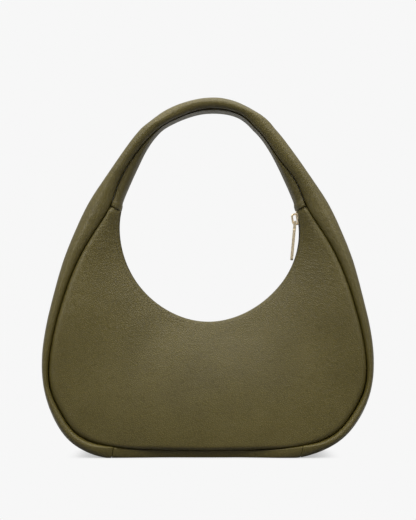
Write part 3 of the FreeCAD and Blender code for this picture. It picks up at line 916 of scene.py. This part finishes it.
def insides():
    """Padding and lining of the panels and the sides, and the slip pocket at the back."""
    for word, side, seed in (("front", -1.0, 51), ("back", 1.0, 61)):
        pad = inner_sheet(word + "_panel_felt", side, LINED - 1, (0.15, 0.84), PAD_INSET, PADDING,
                          seed, felt, word + "_padding")
        cloth = inner_sheet(word + "_panel_lining", side, LINED, (0.15, 0.86), LINING_INSET, LINING,
                            seed, lining_cloth, word + "_lining")
    pocket = inner_sheet("inside_slip_pocket", 1.0, 2, (0.3, 0.8), POCKET_INSET, LINING, 61,
                         lining_cloth, "slip_pocket")
    for word, sign in (("left", -1.0), ("right", 1.0)):
        span = steps(ROW_ANGLE[3], ROW_ANGLE[HORN - 1], 2.0) * sign
        pad = side_layer("side_felt_" + word, span, PAD_INSET, PADDING, felt,
                         "side_padding_" + word)
    limit = ROW_ANGLE[HORN - 1]
    cloth = side_layer("gusset_lining", steps(-limit, limit, 2.0), LINING_INSET, LINING,
                       lining_cloth, "side_lining")


insides()


def handle_filling():
    """Wadding of the handle: a soft rod between the strip and the facing."""
    sections = []
    start = ROW_ANGLE[HORN] + 1.0
    crest = len(ROLL_TURNS) + 1
    edge = len(EDGE_TURNS)
    for angle in steps(start, 360.0 - start, 2.0):
        upper = strip_section(angle, WADDING_UPPER)[crest:-crest]
        lower = facing_section(angle, WADDING_LOWER)[edge:-edge][::-1]
        lower = lower * [1.0, WADDING_NARROW] + [WADDING_LIFT, 0.0]
        sections.append(place(angle, np.concatenate([upper, lower])))
    rings = leaned(np.array(sections))
    piece = make_object("handle_wadding", rings.reshape(-1, 3), tube_faces(*rings.shape[:2]),
                        wadding)
    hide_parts("handle_core")


handle_filling()


# ---- the zip -----------------------------------------------------------------------------------

COIL_PITCH = 2.2
COIL_WIRE = 0.40         # radius of the wire
COIL_RADIUS = (92.5, 93.6)     # nearest to the axis and furthest from it
COIL_Y = (0.45, 2.9)     # the slider's post runs between the two rows
COIL_END = 102.6         # degrees
COIL_STEPS = 12          # points in one turn of the coil
COIL_SIDES = 6
COIL_UP = [0.02, 0.03, 1.0]    # a direction that the wire never follows


def coil_row(name, side, replaced):
    """One row of the zip's coil; the back row is half a turn further on than the front."""
    turns = int(math.radians(2.0 * COIL_END) * COIL_RADIUS[0] / COIL_PITCH)
    one_turn = 2.0 * COIL_END / turns
    phase = np.arange(turns * COIL_STEPS + 1) / COIL_STEPS
    angle = -COIL_END + one_turn * (phase + (0.5 if side > 0 else 0.0))
    swing = 2.0 * math.pi * phase
    half_r = 0.5 * (COIL_RADIUS[1] - COIL_RADIUS[0]) - COIL_WIRE
    half_y = 0.5 * (COIL_Y[1] - COIL_Y[0]) - COIL_WIRE
    radius = 0.5 * sum(COIL_RADIUS) + half_r * np.sin(swing)
    y = side * (0.5 * sum(COIL_Y) + half_y * np.cos(swing))
    centres = place(angle, np.stack([radius, y], axis=1))
    rings = tube(centres, COIL_WIRE, COIL_SIDES, COIL_UP)
    piece = make_object(name, rings.reshape(-1, 3), tube_faces(len(centres), COIL_SIDES),
                        nylon)
    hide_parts(replaced)


coil_row("zip_teeth_front", -1.0, "zip_coil_front")
coil_row("zip_teeth_back", 1.0, "zip_coil_back")


WELD = 0.02              # points nearer than this are one


def dress(name, material, rounding=0.0):
    """Gives a CAD node its finish, and rounds its edges where it is metal."""
    cad = frame["nodes"][name]
    cad.data.materials.clear()
    cad.data.materials.append(material)
    if rounding:
        weld = cad.modifiers.new("weld", "WELD")
        weld.merge_threshold = WELD * MM
        bevel = cad.modifiers.new("rounded", "BEVEL")
        bevel.width = rounding * MM
        bevel.segments = 3
        bevel.limit_method = "ANGLE"
        bevel.angle_limit = math.radians(40.0)
        cad.modifiers.new("normals", "WEIGHTED_NORMAL")


for part in ("zip_tape_front", "zip_tape_back"):
    dress(part, zip_cloth)
dress("handle_tape", webbing)
dress("base_board", board)
for part, rounding in (("zip_stop_open_end", 0.2), ("zip_stop_closed_end", 0.2),
                       ("zip_slider", 0.3), ("zip_slider_bail", 0.7), ("zip_pull", 0.5)):
    dress(part, gold, rounding)


# ---- floor, light and camera ---------------------------------------------------------------

BACKDROP = 0.93          # brightness of the pale floor and of the backdrop
BACKDROP_RADIUS = 4.0    # metres, here and below
SHADOW_REACH = 0.016     # how far the contact shadow spreads
MIRRORED = 0.45          # brightness of the floor that the leather mirrors
MIRROR_SIZE = 12.0
MIRROR_BELOW = 0.0005    # how far it lies under the floor that the camera sees
# brightness of the sky by the height of its direction, from the ground up to straight up
SKY = [(-0.3, 0.03), (0.0, 0.12), (0.3, 0.15), (0.6, 0.40), (0.85, 1.0), (1.0, 1.0)]
# and by how far it points from the camera's side to the back
SKY_BEHIND = [(-1.0, 0.6), (0.0, 0.7), (1.0, 1.0)]
SKY_STRENGTH = 2.2
# name, place, what it points at, diameter and watts
LIGHTS = [
    ("left_light", (-1.0, -1.0, 1.2), (0.0, 0.0, 0.2), 0.7, 9.5),
    ("right_light", (1.1, -0.8, 1.1), (0.0, 0.0, 0.2), 0.7, 6.5),
    ("top_light", (-0.05, -0.45, 1.7), (0.0, 0.0, 0.25), 1.3, 12.0),
]
CAMERA_AWAY = 1.5        # from the middle of the bag
CAMERA_HEIGHT = 0.16
VIEW_HEIGHT = 0.5277     # what the picture spans at the middle of the bag
VIEW_MIDDLE = 0.1966     # height at the middle of the picture


def camera_only(thing):
    """Seen by the camera, and neither lighting nor shading the bag."""
    thing.visible_diffuse = False
    thing.visible_glossy = False
    thing.visible_transmission = False
    thing.visible_shadow = False


def glow_material(name, shaded):
    """An even pale colour, with a tight soft contact shadow if it is `shaded`."""
    material, tree, _ = new_material(name)
    shine = node(tree, "ShaderNodeEmission", Color=(1.0, 1.0, 1.0, 1.0), Strength=BACKDROP)
    if shaded:
        near = tree.nodes.new("ShaderNodeAmbientOcclusion")
        near.inputs["Distance"].default_value = SHADOW_REACH
        near.samples = 8
        tree.links.new(ramp(tree, near.outputs["AO"], [(0.0, 0.45), (0.5, 0.92), (0.8, 1.0)]),
                       shine.inputs["Color"])
    tree.links.new(shine.outputs[0], tree.nodes["Material Output"].inputs["Surface"])
    return material


def floor_and_backdrop():
    """What the camera sees round the bag."""
    bpy.ops.mesh.primitive_plane_add(size=2.0 * BACKDROP_RADIUS)
    plane = bpy.context.object
    plane.name = "floor"
    plane.data.materials.append(glow_material("pale_floor", True))
    camera_only(plane)
    bpy.ops.mesh.primitive_uv_sphere_add(radius=BACKDROP_RADIUS, segments=48, ring_count=24)
    dome = bpy.context.object
    dome.name = "backdrop"
    dome.data.materials.append(glow_material("pale_backdrop", False))
    camera_only(dome)


def mirrored_floor():
    """The pale floor as the gloss of the leather mirrors it; the camera doesn't see it."""
    bpy.ops.mesh.primitive_plane_add(size=MIRROR_SIZE, location=(0.0, 0.0, -MIRROR_BELOW))
    plane = bpy.context.object
    plane.name = "mirrored_floor"
    material, _, shader = new_material("mirrored_white")
    shader.inputs["Base Color"].default_value = (MIRRORED, MIRRORED, MIRRORED, 1.0)
    shader.inputs["Roughness"].default_value = 1.0
    shader.inputs["Specular IOR Level"].default_value = 0.0
    plane.data.materials.append(material)
    plane.visible_camera = False
    plane.visible_diffuse = False
    plane.visible_shadow = False


def studio():
    """A soft white sky, brightest from above and behind."""
    world = bpy.data.worlds.new("studio")
    bpy.context.scene.world = world
    world.use_nodes = True
    tree = world.node_tree
    where = tree.nodes.new("ShaderNodeTexCoord").outputs["Generated"]
    apart = node(tree, "ShaderNodeSeparateXYZ", Vector=where)
    shades = []
    for axis, stops in (("Z", SKY), ("Y", SKY_BEHIND)):
        level = math_node(tree, "MULTIPLY_ADD", apart.outputs[axis], 0.5, 0.5)
        shades.append(ramp(tree, level, [(0.5 + 0.5 * at, shade) for at, shade in stops]))
    both = node(tree, "ShaderNodeMixRGB", blend_type="MULTIPLY", Fac=1.0,
                Color1=shades[0], Color2=shades[1])
    tree.links.new(both.outputs[0], tree.nodes["Background"].inputs["Color"])
    tree.nodes["Background"].inputs["Strength"].default_value = SKY_STRENGTH


def look_at(thing, direction):
    thing.rotation_euler = Vector(direction).to_track_quat("-Z", "Y").to_euler()


def soft_light(name, spot, target, size, power):
    data = bpy.data.lights.new(name, "AREA")
    data.shape = "DISK"
    data.size = size
    data.energy = power
    lamp = bpy.data.objects.new(name, data)
    bpy.context.scene.collection.objects.link(lamp)
    lamp.location = spot
    look_at(lamp, np.array(target) - np.array(spot))


def camera():
    """A level camera in front of the bag, its picture shifted up."""
    data = bpy.data.cameras.new("camera")
    data.sensor_width = 36.0
    data.lens = data.sensor_width * CAMERA_AWAY / VIEW_HEIGHT
    data.shift_y = (VIEW_MIDDLE - CAMERA_HEIGHT) / VIEW_HEIGHT
    eye = bpy.data.objects.new("camera", data)
    bpy.context.scene.collection.objects.link(eye)
    eye.location = (0.0, -CAMERA_AWAY, CAMERA_HEIGHT)
    look_at(eye, (0.0, 1.0, 0.0))
    bpy.context.scene.camera = eye


floor_and_backdrop()
mirrored_floor()
studio()
for light in LIGHTS:
    soft_light(*light)
camera()
bpy.context.scene.view_settings.view_transform = "Standard"
